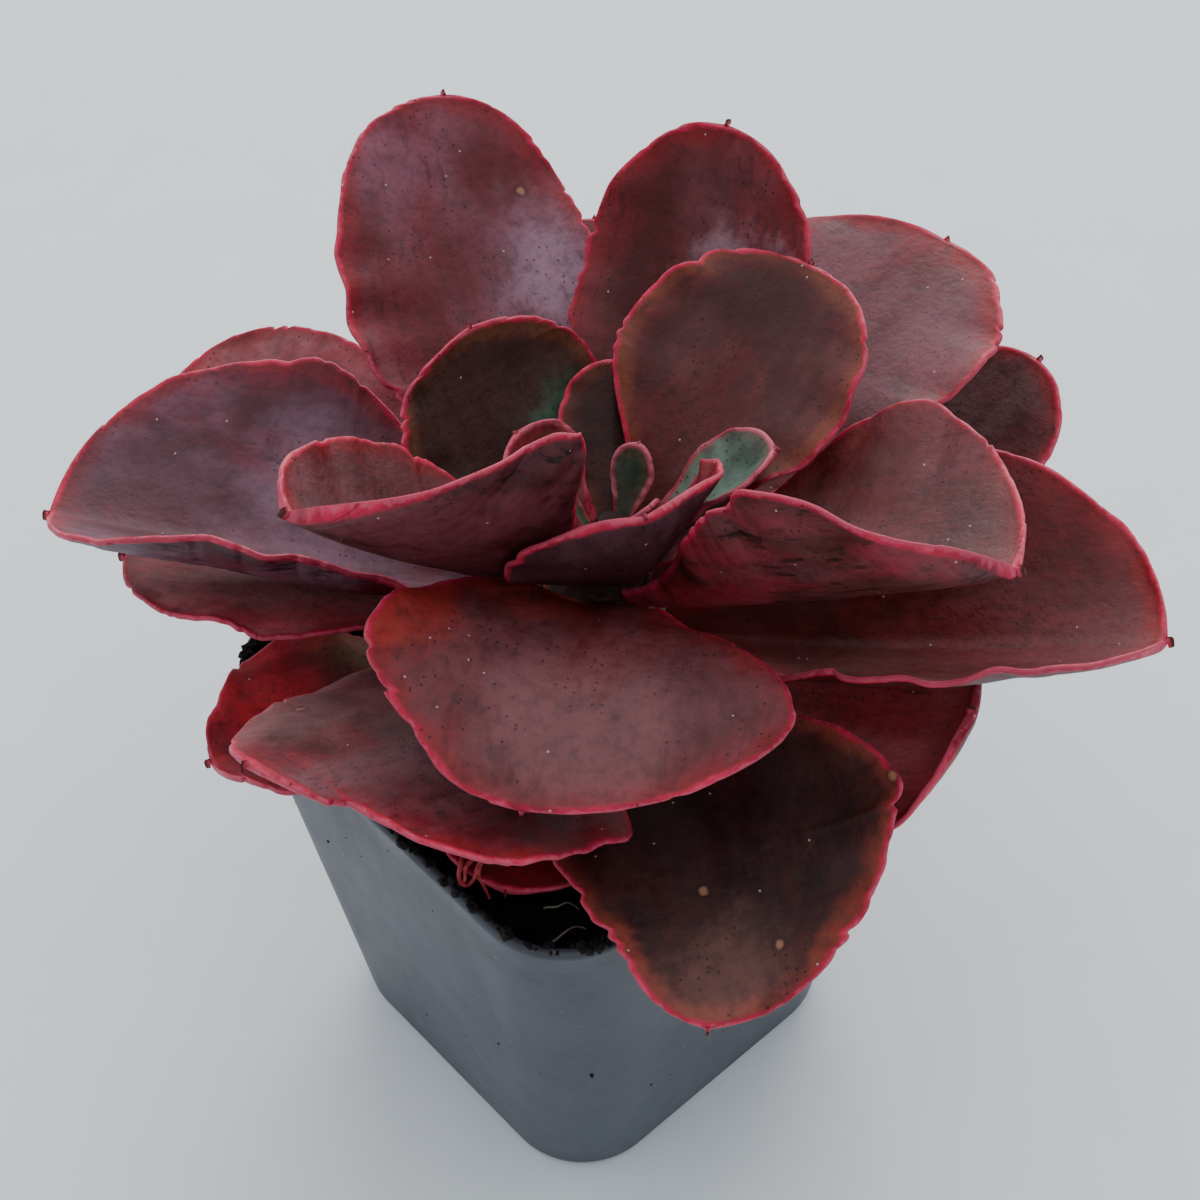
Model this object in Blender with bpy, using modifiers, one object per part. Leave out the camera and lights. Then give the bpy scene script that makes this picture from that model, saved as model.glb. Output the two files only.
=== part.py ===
"""A potted echeveria: a loose rosette of broad leaves on a short stem, in a square nursery pot.

Metres, +Z up. The origin is the middle of the pot's underside. The pot's walls face X and Y.
Directions in the leaf table are degrees from +X towards +Y.
"""

import math
import random
from dataclasses import dataclass

import bmesh
import bpy
import numpy as np
from mathutils import noise

# Driving dimensions of the pot and its filling.
POT_HEIGHT = 0.070
POT_TOP = 0.070
POT_BASE = 0.055
POT_CORNER = 0.012
CORNER_SEGMENTS = 5
POT_WALL = 0.0013
RIM_BAND = 0.005
RIM_STEP = 0.0003
DRAIN_HOLE = 0.007
DRAIN_SPACING = 0.030
DRAIN_SEGMENTS = 16
SOIL_LEVEL = 0.0605
SOIL_BUMP = 0.0012
SOIL_LUMPS_PER_METRE = 90
SOIL_RING_SHRINKS = (0.86, 0.82, 0.76)
GAP = 0.0003

# The stem: a stout dome above the soil, a root crown that thins out below it.
STEM_TOP = 0.0930
STEM_SHOULDER = 0.074
STEM_CROWN = 0.058
STEM_FOOT = 0.034
STEM_RADIUS = 0.0085
STEM_TOP_RADIUS = 0.0018
STEM_FOOT_RADIUS = 0.0020
STEM_DOME_POWER = 1.3
STEM_ROOT_POWER = 0.7
STEM_LEAN_FROM = (0.0, 0.001)
STEM_LEAN_TO = (0.0, 0.006)
STEM_STATIONS = 18
STEM_ROUND_STEPS = 5

# The leaf flesh: its thickness at the margin, how much it thins towards the tip, and the pointed tip.
LEAF_EDGE = 0.0010
THIN_TO_TIP = 0.55
TIP_LENGTH = 0.0015
TIP_HALF_WIDTH = 0.0005

# How a leaf bends: the share of a fold taken at the midrib, and how late the curl at the tip sets in.
CREASE_SHARE = 0.35
CURL_POWER = 5
FOLD_POWER = 1.5

# The waved margin: a slow wave and a quicker one, both dying out towards the midrib.
WAVE_SHARE = 0.66
QUICK_WAVES = 2.3
WAVE_POWER = 2.5
LAP_POWER = 5

# The grid each leaf is laid out on: rows up to the widest place and again over the rounding, and columns.
MIDRIB_STEPS = 65
ROWS = 7
SMALL_ROWS = 5
COLUMNS = 8
SMALL_COLUMNS = 6
SMALL_LEAF = 0.030
TIP_TURN = math.radians(82)
NARROW_NICK = 0.1
NICK_CLEARANCE = 1.3
MARGIN_CROWDING = 0.25

# Colours of the oldest and the youngest leaves, and the heights on the stem that they belong to.
OLD_SKIN = (0.16, 0.035, 0.040)
YOUNG_SKIN = (0.08, 0.085, 0.040)
OLD_HEIGHT = 0.069
YOUNG_HEIGHT = 0.092

SAME_HEIGHT = 1e-6
SHARP_ANGLE = math.radians(40)


@dataclass
class Leaf:
    """One leaf. Lengths in metres, angles in degrees; left and right are seen looking outward from above."""

    name: str
    facing: float
    height: float
    length: float
    width: float
    rise: tuple
    curl: float = 0
    sweep: float = 0
    roll: float = 0
    left: float = 20
    right: float = 20
    left_width: float = 1.0
    right_width: float = 1.0
    widest: float = 0.62
    blunt: float = 2.3
    foot: float = 0.0040
    foot_fold: float = 0.8
    tip_fold: float = 0.6
    wave: float = 0.0008
    waves: float = 2.5
    thick: float = 0.0022
    standoff: float = 0.0
    nicks: tuple = ()
    laps: tuple = (0, 0)
    seed: int = 0


# From the oldest leaf, lowest on the stem, to the youngest.
# A nick is (side, place along, depth, reach along); its side is 1 for left and -1 for right. A wide nick
# flattens the outline, and one with a negative depth fills it out. Laps are how far the left and the right
# margin turn up, or down where negative.
LEAVES = [
    Leaf("leaf_old_front", -58, 0.0688, 0.0300, 0.0240, (4, 4), left=10, right=20, wave=0.001, seed=21),
    Leaf("leaf_low_left", -111, 0.0708, 0.0425, 0.0330, (3, 2), roll=-6, left=29, right=-2, tip_fold=1.8,
         wave=0.0012, standoff=0.0003, nicks=((-1, 0.93, 0.0016, 0.09),), seed=1),
    Leaf("leaf_low_back", 138, 0.0716, 0.0680, 0.0380, (8, 12), seed=3),
    Leaf("leaf_low_right", 22, 0.0718, 0.0460, 0.0340, (2, 0), curl=100, left=24, right=4, widest=0.67, blunt=2.6,
         seed=2),
    Leaf("leaf_far_left", 189, 0.0724, 0.0695, 0.0385, (5, 0), sweep=5, roll=-4, left=4, right=36,
         widest=0.7, seed=5),
    Leaf("leaf_low_back_right", 75, 0.0741, 0.0625, 0.0310, (-1, 32), sweep=6, left=-12, right=6, seed=4),
    Leaf("leaf_droop_right", -19, 0.0744, 0.0505, 0.0420, (9, -18), sweep=-26, roll=-9, left=33, right=3,
         left_width=1.22, right_width=0.81, widest=0.57, blunt=1.0, wave=0.0006, seed=6),
    Leaf("leaf_under_left", -145, 0.0754, 0.0540, 0.0380, (11, 4), sweep=14, roll=7, left=27, right=18,
         seed=7),
    Leaf("leaf_wide_right", 34, 0.0768, 0.0630, 0.0475, (3, 24), sweep=-2, roll=-18, left=64, right=43,
         left_width=1.12, right_width=0.96, widest=0.54, blunt=2.2, nicks=((-1, 0.66, 0.0012, 0.05),),
         seed=9),
    Leaf("leaf_droop_left", -86, 0.0779, 0.0490, 0.0480, (16, 26), sweep=-5, roll=17, left=-12, right=-10,
         left_width=1.27, right_width=0.62, widest=0.35, blunt=2.6, foot=0.0034, wave=0.0014, waves=1.6,
         standoff=0.0006,
         nicks=((1, 0.91, 0.0055, 0.05), (1, 0.72, -0.0018, 0.22), (1, 0.42, 0.0018, 0.18)),
         laps=(0, -0.002), seed=8),
    Leaf("leaf_back_right", 96, 0.0797, 0.0630, 0.0425, (25, 12), sweep=-6, roll=-4, left=0, right=23,
         left_width=1.2, right_width=1.07, widest=0.67, blunt=1.9, wave=0.0006,
         nicks=((1, 0.72, 0.0012, 0.04), (1, 0.86, 0.0014, 0.04)), seed=10),
    Leaf("leaf_wide_left", -141, 0.0801, 0.0635, 0.0470, (3, 14), sweep=6, roll=11, left=64, right=39,
         right_width=1.21, widest=0.55, blunt=2.6, foot_fold=0.6, standoff=0.0008,
         nicks=((1, 0.88, 0.0015, 0.05),), seed=11),
    Leaf("leaf_back_left", 163, 0.0810, 0.0660, 0.0395, (25, 39), sweep=-14, roll=17, left=22, right=2,
         left_width=1.09, right_width=0.87, widest=0.55, blunt=2.3, wave=0.0007, standoff=0.0003, seed=12),
    Leaf("leaf_back", 120, 0.0828, 0.0565, 0.0335, (25, 62), sweep=-6, roll=-12, left=7, right=6,
         left_width=0.95, right_width=1.01, widest=0.56, blunt=2.6, wave=0.0007, seed=13),
    Leaf("leaf_front", -56, 0.0844, 0.0465, 0.0460, (58, -27), sweep=6, roll=-14, left=10, right=11,
         left_width=1.23, right_width=0.92, widest=0.65, blunt=1.5, foot=0.003, wave=0.0006,
         standoff=0.0003, nicks=((-1, 0.86, 0.0022, 0.16),), seed=15),
    Leaf("leaf_boat_right", 15, 0.0845, 0.0520, 0.0440, (28, 29), sweep=13, roll=-18, left=37, right=86,
         left_width=1.27, right_width=1.15, widest=0.64, blunt=1.4, nicks=((-1, 0.52, 0.0016, 0.05),),
         seed=14),
    Leaf("leaf_inner_left", 176, 0.0847, 0.0315, 0.0300, (23, 70), sweep=-1, roll=1, left=3, right=9,
         left_width=1.03, right_width=1.02, widest=0.55, blunt=2.4, foot=0.003, wave=0.0006, seed=17),
    Leaf("leaf_inner_back", 135, 0.0871, 0.0220, 0.0120, (33, 44), roll=-5, left=4, right=-45,
         left_width=1.2, right_width=0.55, foot=0.0022, wave=0.0005, thick=0.0017, seed=22),
    Leaf("leaf_boat_left", -105, 0.0877, 0.0445, 0.0415, (25, 51), sweep=3, roll=5, left=99, right=33,
         left_width=1.4, right_width=0.78, widest=0.54, blunt=2.3, foot_fold=0.6, standoff=0.0005,
         nicks=((1, 0.7, 0.0016, 0.06),), seed=16),
    Leaf("leaf_inner_right", 89, 0.0881, 0.0405, 0.0295, (45, 29), sweep=10, roll=-8, left=22, right=6,
         left_width=1.12, right_width=1.16, widest=0.54, blunt=2.9, foot=0.0028, wave=0.0009,
         nicks=((1, 0.84, 0.0016, 0.06),), seed=18),
    Leaf("leaf_cup", -27, 0.0888, 0.0265, 0.0240, (33, 86), sweep=-4, left=71, right=10,
         left_width=1.31, right_width=1.29, widest=0.6, blunt=2.3, foot=0.0022, thick=0.0015,
         standoff=0.0001, seed=19),
    Leaf("leaf_young_left", -165, 0.0893, 0.0155, 0.0150, (44, 62), foot=0.0022, wave=0.0005, thick=0.0015,
         seed=23),
    Leaf("leaf_young_right", 44, 0.0900, 0.0225, 0.0150, (34, 53), sweep=8, roll=-9, left=42, right=43,
         left_width=0.97, right_width=0.78, widest=0.62, blunt=2.5, foot=0.002, wave=0.0004, thick=0.0014,
         seed=20),
    Leaf("bud_leaf_right", 110, 0.0908, 0.0100, 0.0060, (58, 70), foot=0.0013, wave=0.0002, thick=0.0012,
         seed=24),
    Leaf("bud_leaf_left", -140, 0.0915, 0.0125, 0.0045, (60, 70), left=40, right=40, foot=0.0012,
         wave=0.0002, thick=0.0012, standoff=0.0002, seed=25),
    Leaf("bud_leaf_front", 5, 0.0918, 0.0090, 0.0055, (56, 78), foot=0.0011, wave=0.0002, thick=0.0011,
         standoff=0.0001, seed=26),
]


def stem_middle(height):
    """Where the stem's axis is at a height: it leans from the crown to the tip."""
    share = (height - STEM_CROWN) / (STEM_TOP - STEM_CROWN)
    return [low + (high - low) * share for low, high in zip(STEM_LEAN_FROM, STEM_LEAN_TO)]


def stem_radius(height):
    if height > STEM_SHOULDER:
        share = (height - STEM_SHOULDER) / (STEM_TOP - STEM_SHOULDER)
        return STEM_RADIUS + (STEM_TOP_RADIUS - STEM_RADIUS) * share**STEM_DOME_POWER
    if height > STEM_CROWN:
        return STEM_RADIUS
    share = (STEM_CROWN - height) / (STEM_CROWN - STEM_FOOT)
    return STEM_RADIUS + (STEM_FOOT_RADIUS - STEM_RADIUS) * share**STEM_ROOT_POWER


def half_width(leaf, along, side):
    """Half width of the leaf's outline on one side (1 left, -1 right) at a share of its length."""
    widest = leaf.width / 2 * (leaf.left_width if side > 0 else leaf.right_width)
    up = np.clip(along / leaf.widest, 0, 1)
    swelling = leaf.foot + (widest - leaf.foot) * (3 * up**2 - 2 * up**3)
    down = np.clip((along - leaf.widest) / (1 - leaf.widest), 0, 1)
    rounding = widest * np.sqrt(1 - down**leaf.blunt)
    outline = np.where(along < leaf.widest, swelling, rounding)
    for nick_side, place, depth, reach in leaf.nicks:
        if nick_side == side:
            outline = outline - depth * np.clip(1 - abs(along - place) / reach, 0, 1)
    return np.maximum(outline, TIP_HALF_WIDTH)


def midrib(leaf, share):
    """Points and headings along the midrib, from its foot (0) to its tip (1), in lengths of the leaf.

    The slope and the turn to one side change evenly along it, and the curl adds slope near the tip.
    """
    steps = np.linspace(0, 1, MIDRIB_STEPS)
    slope = np.radians(leaf.rise[0] + (leaf.rise[1] - leaf.rise[0]) * steps + leaf.curl * steps**CURL_POWER)
    veer = math.radians(leaf.sweep) * steps
    heading = np.stack([np.cos(slope) * np.cos(veer), np.cos(slope) * np.sin(veer), np.sin(slope)])
    halfway = (heading[:, 1:] + heading[:, :-1]) / 2 / (MIDRIB_STEPS - 1)
    place = np.concatenate([np.zeros((3, 1)), np.cumsum(halfway, axis=1)], axis=1)
    return [np.array([np.interp(share, steps, row) for row in rows]) for rows in (place, heading)]


def leaf_points(leaf, along, across):
    """Points on the upper face: along is 0 at the foot and 1 at the tip, across -1 right and 1 left."""
    facing = math.radians(leaf.facing)
    outward = np.array([math.cos(facing), math.sin(facing), 0])
    leftward = np.array([-math.sin(facing), math.cos(facing), 0])
    upward = np.array([0, 0, 1])
    frame = np.array([outward, leftward, upward])
    middle_x, middle_y = stem_middle(leaf.height)
    foot = np.array([middle_x, middle_y, leaf.height])
    foot = foot + outward * (stem_radius(leaf.height) + GAP + leaf.standoff)
    share = np.minimum(along, 1)
    place, heading = midrib(leaf, share)
    heading = heading.T @ frame
    heading = heading / np.linalg.norm(heading, axis=1, keepdims=True)
    rib = foot + leaf.length * (place.T @ frame + heading * (along - share)[:, None])

    # The cross-section: a crease at the midrib, then an even curl, alike or not on the two sides.
    veer = (math.radians(leaf.sweep) * share)[:, None]
    sideways = np.cos(veer) * leftward - np.sin(veer) * outward
    normal = np.cross(heading, sideways)
    roll = (math.radians(leaf.roll) * share)[:, None]
    tilted = np.cos(roll) * sideways + np.sin(roll) * normal
    normal = np.cos(roll) * normal - np.sin(roll) * sideways
    is_left = across >= 0
    reach_across = abs(across)
    width = np.where(is_left, half_width(leaf, share, 1), half_width(leaf, share, -1))
    opening = leaf.foot_fold + (1 - leaf.foot_fold) * np.sin(math.pi * share)
    closing = 1 + (leaf.tip_fold - 1) * np.clip(2 * share - 1, 0, 1) ** FOLD_POWER
    lift = np.radians(np.where(is_left, leaf.left, leaf.right)) * np.where(share < 0.5, opening, closing)
    crease = lift * CREASE_SHARE
    curl = lift - crease
    curl = np.where(abs(curl) < 1e-4, 1e-4, curl)
    edge_angle = crease + curl * reach_across
    flat = width * (np.sin(edge_angle) - np.sin(crease)) / curl
    raised = width * (np.cos(crease) - np.cos(edge_angle)) / curl

    # The waved margin.
    draw = random.Random(leaf.seed)
    phases = [draw.uniform(0, 2 * math.pi) for _ in range(4)]
    slow = np.where(is_left, phases[0], phases[2]) + 2 * math.pi * leaf.waves * share
    quick = np.where(is_left, phases[1], phases[3]) + 2 * math.pi * QUICK_WAVES * leaf.waves * share
    swell = WAVE_SHARE * leaf.wave * np.sqrt(np.maximum(np.sin(math.pi * share), 0))
    ripple = swell * reach_across**WAVE_POWER * (np.sin(slow) + 0.5 * np.sin(quick))
    flat = np.where(is_left, 1, -1) * (flat - np.sin(edge_angle) * ripple)
    raised = raised + np.cos(edge_angle) * ripple
    lap = np.where(is_left, leaf.laps[0], leaf.laps[1]) * reach_across**LAP_POWER * np.sin(math.pi * share)
    raised = raised + lap
    return rib + tilted * flat[:, None] + normal * raised[:, None]


def stations(leaf):
    """Shares of the length where the leaf has a row of points: even up to its widest, then in even turns of
    the rounding, with three more at each narrow nick."""
    rows = ROWS if leaf.length > SMALL_LEAF else SMALL_ROWS
    places = list(np.linspace(0, leaf.widest, rows)[:-1])
    for turn in np.linspace(0, TIP_TURN, rows):
        places.append(leaf.widest + (1 - leaf.widest) * math.sin(turn))
    narrow = [(place, reach) for _, place, _, reach in leaf.nicks if reach < NARROW_NICK]
    for place, reach in narrow:
        places = [p for p in places if abs(p - place) > NICK_CLEARANCE * reach]
        places += [place - reach, place, place + reach]
    return sorted(places) + [1 + TIP_LENGTH / leaf.length]


def plain_material(name, colour, roughness, metallic=0.0):
    material = bpy.data.materials.new(name)
    material.use_nodes = True
    shader = material.node_tree.nodes["Principled BSDF"]
    shader.inputs["Base Color"].default_value = (*colour, 1)
    shader.inputs["Roughness"].default_value = roughness
    shader.inputs["Metallic"].default_value = metallic
    return material


def add_object(name, mesh_data, collection, material=None):
    mesh = bpy.data.meshes.new(name)
    mesh_data.to_mesh(mesh)
    mesh_data.free()
    made = bpy.data.objects.new(name, mesh)
    collection.objects.link(made)
    if material:
        mesh.materials.append(material)
    return made


def tapered_block(bottom, top, low, high, corner):
    """A square block with rounded upright edges: size bottom at height low, size top at height high."""
    block = bmesh.new()
    bmesh.ops.create_cube(block, size=1)
    for vert in block.verts:
        is_top = vert.co.z > 0
        size = top if is_top else bottom
        vert.co = (vert.co.x * size, vert.co.y * size, high if is_top else low)
    upright = [edge for edge in block.edges if abs(edge.verts[0].co.z - edge.verts[1].co.z) > SAME_HEIGHT]
    bmesh.ops.bevel(block, geom=upright, offset=corner, segments=CORNER_SEGMENTS, profile=0.5,
                     affect="EDGES")
    return block


def level_face(block, height):
    """The largest face that lies flat at a height."""
    level = [face for face in block.faces if all(abs(vert.co.z - height) < SAME_HEIGHT for vert in face.verts)]
    return max(level, key=lambda face: face.calc_area())


def make_pot(parts, cutters):
    block = tapered_block(POT_BASE, POT_TOP, 0, POT_HEIGHT, POT_CORNER)
    bmesh.ops.delete(block, geom=[level_face(block, POT_HEIGHT)], context="FACES")
    for height in (POT_HEIGHT - RIM_BAND, POT_HEIGHT - RIM_BAND + RIM_STEP):
        everything = block.verts[:] + block.edges[:] + block.faces[:]
        bmesh.ops.bisect_plane(block, geom=everything, plane_co=(0, 0, height), plane_no=(0, 0, 1))
    band_growth = 1 + 2 * RIM_STEP / POT_TOP
    for vert in block.verts:
        if vert.co.z > POT_HEIGHT - RIM_BAND + RIM_STEP / 2:
            vert.co.x *= band_growth
            vert.co.y *= band_growth
    pot = add_object("pot", block, parts, plain_material("pot plastic", (0.055, 0.060, 0.068), 0.45))
    wall = pot.modifiers.new("wall", "SOLIDIFY")
    wall.thickness = POT_WALL
    wall.offset = -1
    wall.use_even_offset = True
    for side_x in (-1, 1):
        for side_y in (-1, 1):
            drill = bmesh.new()
            bmesh.ops.create_cone(drill, cap_ends=True, segments=DRAIN_SEGMENTS, radius1=DRAIN_HOLE / 2,
                                  radius2=DRAIN_HOLE / 2, depth=6 * POT_WALL)
            hole = add_object(f"drain_cutter_{side_x}_{side_y}", drill, cutters)
            hole.location = (side_x * DRAIN_SPACING / 2, side_y * DRAIN_SPACING / 2, 0)
            cut = pot.modifiers.new("drain hole", "BOOLEAN")
            cut.object = hole
    return pot


def stem_tube(name, extra, collection):
    """The stem as a closed mesh, with extra added to its radius."""
    curve = bpy.data.curves.new(name + " line", "CURVE")
    curve.dimensions = "3D"
    curve.bevel_depth = 1.0
    curve.bevel_resolution = STEM_ROUND_STEPS
    curve.use_fill_caps = True
    line = curve.splines.new("POLY")
    line.points.add(STEM_STATIONS - 1)
    for point, height in zip(line.points, np.linspace(STEM_FOOT - extra, STEM_TOP, STEM_STATIONS)):
        middle_x, middle_y = stem_middle(height)
        point.co = (middle_x, middle_y, height, 1)
        point.radius = stem_radius(max(height, STEM_FOOT)) + extra
    guide = bpy.data.objects.new(name + "_line", curve)
    collection.objects.link(guide)
    bpy.context.view_layer.update()
    graph = bpy.context.evaluated_depsgraph_get()
    mesh = bpy.data.meshes.new_from_object(guide.evaluated_get(graph))
    bpy.data.objects.remove(guide)
    tube = bmesh.new()
    tube.from_mesh(mesh)
    bpy.data.meshes.remove(mesh)
    bmesh.ops.remove_doubles(tube, verts=tube.verts, dist=SAME_HEIGHT)
    bmesh.ops.recalc_face_normals(tube, faces=tube.faces)
    return tube


def make_stem(parts):
    tube = stem_tube("stem", 0, parts)
    return add_object("stem", tube, parts, plain_material("stem bark", (0.16, 0.10, 0.07), 0.8))


def make_soil(parts, cutters):
    """The pot's filling: it follows the wall inside, is bumpy on top, and has a plain hole for the stem."""
    slope = (POT_TOP - POT_BASE) / POT_HEIGHT
    floor = POT_WALL + GAP
    margin = 2 * (POT_WALL + GAP) * math.hypot(1, slope / 2)
    bottom = POT_BASE + slope * floor - margin
    top = POT_BASE + slope * SOIL_LEVEL - margin
    block = tapered_block(bottom, top, floor, SOIL_LEVEL, POT_CORNER - POT_WALL)
    for shrink in SOIL_RING_SHRINKS:
        cap = level_face(block, SOIL_LEVEL)
        grown = bmesh.ops.extrude_face_region(block, geom=[cap])
        bmesh.ops.delete(block, geom=[cap], context="FACES_ONLY")
        for item in grown["geom"]:
            if isinstance(item, bmesh.types.BMVert):
                item.co.x *= shrink
                item.co.y *= shrink
    bmesh.ops.poke(block, faces=[level_face(block, SOIL_LEVEL)])
    for vert in block.verts:
        if abs(vert.co.z - SOIL_LEVEL) < SAME_HEIGHT:
            vert.co.z += SOIL_BUMP * noise.noise(SOIL_LUMPS_PER_METRE * vert.co)
    bmesh.ops.triangulate(block, faces=block.faces)
    soil = add_object("soil", block, parts, plain_material("potting soil", (0.018, 0.014, 0.012), 0.95))
    hole = add_object("stem_cutter", stem_tube("stem cutter", GAP, cutters), cutters)
    cut = soil.modifiers.new("stem hole", "BOOLEAN")
    cut.object = hole
    return soil


def make_leaf(leaf, parts, material):
    """A grid laid out by the leaf's shape, with the flesh added below it, thickest at the midrib."""
    rows = stations(leaf)
    columns = COLUMNS if leaf.length > SMALL_LEAF else SMALL_COLUMNS
    grid = bmesh.new()
    bmesh.ops.create_grid(grid, x_segments=columns, y_segments=len(rows) - 1, size=1)
    along = np.array([rows[round((vert.co.y + 1) / 2 * (len(rows) - 1))] for vert in grid.verts])
    across = np.array([-vert.co.x for vert in grid.verts])
    across = across + MARGIN_CROWDING * (across - across**3)
    flesh = (1 - across**2) * (1 - THIN_TO_TIP * np.minimum(along, 1))
    for vert, point in zip(grid.verts, leaf_points(leaf, along, across)):
        vert.co = point
    bmesh.ops.triangulate(grid, faces=grid.faces, quad_method="FIXED")
    blade = add_object(leaf.name, grid, parts, material)
    weights = blade.vertex_groups.new(name="flesh")
    for index, weight in enumerate(flesh):
        weights.add([index], float(weight), "REPLACE")
    solid = blade.modifiers.new("flesh", "SOLIDIFY")
    solid.thickness = leaf.thick
    solid.offset = -1
    solid.vertex_group = "flesh"
    solid.thickness_vertex_group = LEAF_EDGE / leaf.thick
    return blade


def new_collection(name):
    collection = bpy.data.collections.new(name)
    bpy.context.scene.collection.children.link(collection)
    return collection


def build():
    for old in list(bpy.data.objects):
        bpy.data.objects.remove(old)
    parts = new_collection("potted echeveria")
    cutters = new_collection("cutters")
    make_pot(parts, cutters)
    make_soil(parts, cutters)
    make_stem(parts)
    for leaf in LEAVES:
        youth = (leaf.height - OLD_HEIGHT) / (YOUNG_HEIGHT - OLD_HEIGHT)
        colour = [old + (young - old) * youth**3 for old, young in zip(OLD_SKIN, YOUNG_SKIN)]
        make_leaf(leaf, parts, plain_material(leaf.name + " skin", colour, 0.5))
    for cutter in cutters.objects:
        cutter.hide_render = True
        cutter.display_type = "WIRE"
    for part in parts.objects:
        part.data.shade_smooth()
        part.data.set_sharp_from_angle(angle=SHARP_ANGLE)


build()
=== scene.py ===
import math
import random
from dataclasses import dataclass

import bmesh
import bpy
import numpy as np
from mathutils import Matrix, Vector


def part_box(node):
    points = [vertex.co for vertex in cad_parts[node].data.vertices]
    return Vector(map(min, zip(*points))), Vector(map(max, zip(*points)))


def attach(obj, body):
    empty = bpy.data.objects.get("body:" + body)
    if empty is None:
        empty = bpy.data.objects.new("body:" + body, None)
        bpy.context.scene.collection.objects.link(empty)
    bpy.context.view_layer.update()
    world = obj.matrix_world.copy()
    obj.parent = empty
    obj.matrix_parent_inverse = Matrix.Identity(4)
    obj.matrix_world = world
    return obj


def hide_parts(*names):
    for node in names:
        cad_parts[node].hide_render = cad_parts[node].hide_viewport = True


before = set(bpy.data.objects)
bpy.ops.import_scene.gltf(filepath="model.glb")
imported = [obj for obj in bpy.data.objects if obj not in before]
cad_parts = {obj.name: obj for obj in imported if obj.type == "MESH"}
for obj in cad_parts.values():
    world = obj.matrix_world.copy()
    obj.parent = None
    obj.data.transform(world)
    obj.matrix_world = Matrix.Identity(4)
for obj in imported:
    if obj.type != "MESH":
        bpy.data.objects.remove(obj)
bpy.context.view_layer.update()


# The pot: a square nursery pot of thin dark grey plastic, moulded in one piece with a rim band, a rounded
# lip and four drainage holes in its floor. Its satin wall carries dust, scuffs and dried splashes.


class Wire:
    """A socket in a node tree. Arithmetic on wires adds the nodes that work it out."""

    def __init__(self, tree, socket):
        self.tree, self.socket = tree, socket

    def other(self, name):
        """Another output of the same node."""
        return Wire(self.tree, self.socket.node.outputs[name])

    def work(self, operation, *values):
        """A Math node, or a Vector Math node where a vector takes part."""
        vectors = [value for value in values if isinstance(value, tuple)
                   or (isinstance(value, Wire) and value.socket.type == "VECTOR")]
        if operation == "MULTIPLY" and len(vectors) == 1:
            number = next(value for value in values if value is not vectors[0])
            return self.tree.node("ShaderNodeVectorMath", {"operation": "SCALE"},
                                  {"Vector": vectors[0], "Scale": number})
        kind = "ShaderNodeVectorMath" if vectors else "ShaderNodeMath"
        return self.tree.node(kind, {"operation": operation}, dict(enumerate(values)))

    def __add__(self, value):
        return self.work("ADD", self, value)

    def __radd__(self, value):
        return self.work("ADD", value, self)

    def __sub__(self, value):
        return self.work("SUBTRACT", self, value)

    def __rsub__(self, value):
        return self.work("SUBTRACT", value, self)

    def __mul__(self, value):
        return self.work("MULTIPLY", self, value)

    def __rmul__(self, value):
        return self.work("MULTIPLY", value, self)

    def __truediv__(self, value):
        return self.work("DIVIDE", self, value)

    def __rtruediv__(self, value):
        return self.work("DIVIDE", value, self)

    def __pow__(self, value):
        return self.work("POWER", self, value)

    def __gt__(self, value):
        return self.work("GREATER_THAN", self, value)

    def __lt__(self, value):
        return self.work("LESS_THAN", self, value)

    def __abs__(self):
        return self.take("ABSOLUTE")

    def take(self, operation):
        """A Math node's function of this number alone, such as SINE."""
        return self.work(operation, self)

    def at_most(self, value):
        return self.work("MINIMUM", self, value)

    def parts(self):
        """The three numbers of a vector."""
        split = self.tree.node("ShaderNodeSeparateXYZ", {}, {"Vector": self})
        return split, split.other("Y"), split.other("Z")

    def rise(self, low, high):
        """A smooth step: 0 below low and 1 above high, or the other way round where low is the larger."""
        start, end = (0, 1) if low < high else (1, 0)
        return self.tree.node("ShaderNodeMapRange", {"interpolation_type": "SMOOTHSTEP"},
                              {"Value": self, "From Min": min(low, high), "From Max": max(low, high),
                               "To Min": start, "To Max": end})


class Tree:
    """A node tree that is written as expressions."""

    def __init__(self, nodes):
        self.nodes = nodes

    def node(self, kind, settings, sockets):
        """Adds a node, makes its settings, fills its sockets by name or place, and gives its first output."""
        made = self.nodes.nodes.new(kind)
        for name, value in settings.items():
            setattr(made, name, value)
        usable = [socket for socket in made.inputs if socket.enabled]
        for name, value in sockets.items():
            socket = usable[name] if isinstance(name, int) else next(s for s in usable if s.name == name)
            self.fill(socket, value)
        return Wire(self, next((socket for socket in made.outputs if socket.enabled), None))

    def fill(self, socket, value):
        if isinstance(value, Wire):
            self.nodes.links.new(value.socket, socket)
        else:
            socket.default_value = value

    def mix(self, share, first, second):
        """A colour between two others."""
        return self.node("ShaderNodeMix", {"data_type": "RGBA"}, {"Factor": share, "A": first, "B": second})

    def noise(self, place, scale, detail, roughness, dimensions="3D"):
        return self.node("ShaderNodeTexNoise", {"noise_dimensions": dimensions},
                         {"Vector": place, "Scale": scale, "Detail": detail, "Roughness": roughness})

    def cells(self, place, scale, dimensions="3D"):
        return self.node("ShaderNodeTexVoronoi", {"voronoi_dimensions": dimensions},
                         {"Vector": place, "Scale": scale})

    def piece_place(self):
        """Where a point lies on its piece, in metres."""
        return self.node("ShaderNodeTexCoord", {}, {}).other("Object")

    def emboss(self, shader, strength, distance, height):
        """Gives a skin fine relief."""
        bump = self.node("ShaderNodeBump", {}, {"Strength": strength, "Distance": distance, "Height": height})
        self.fill(shader.inputs["Normal"], bump)


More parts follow.
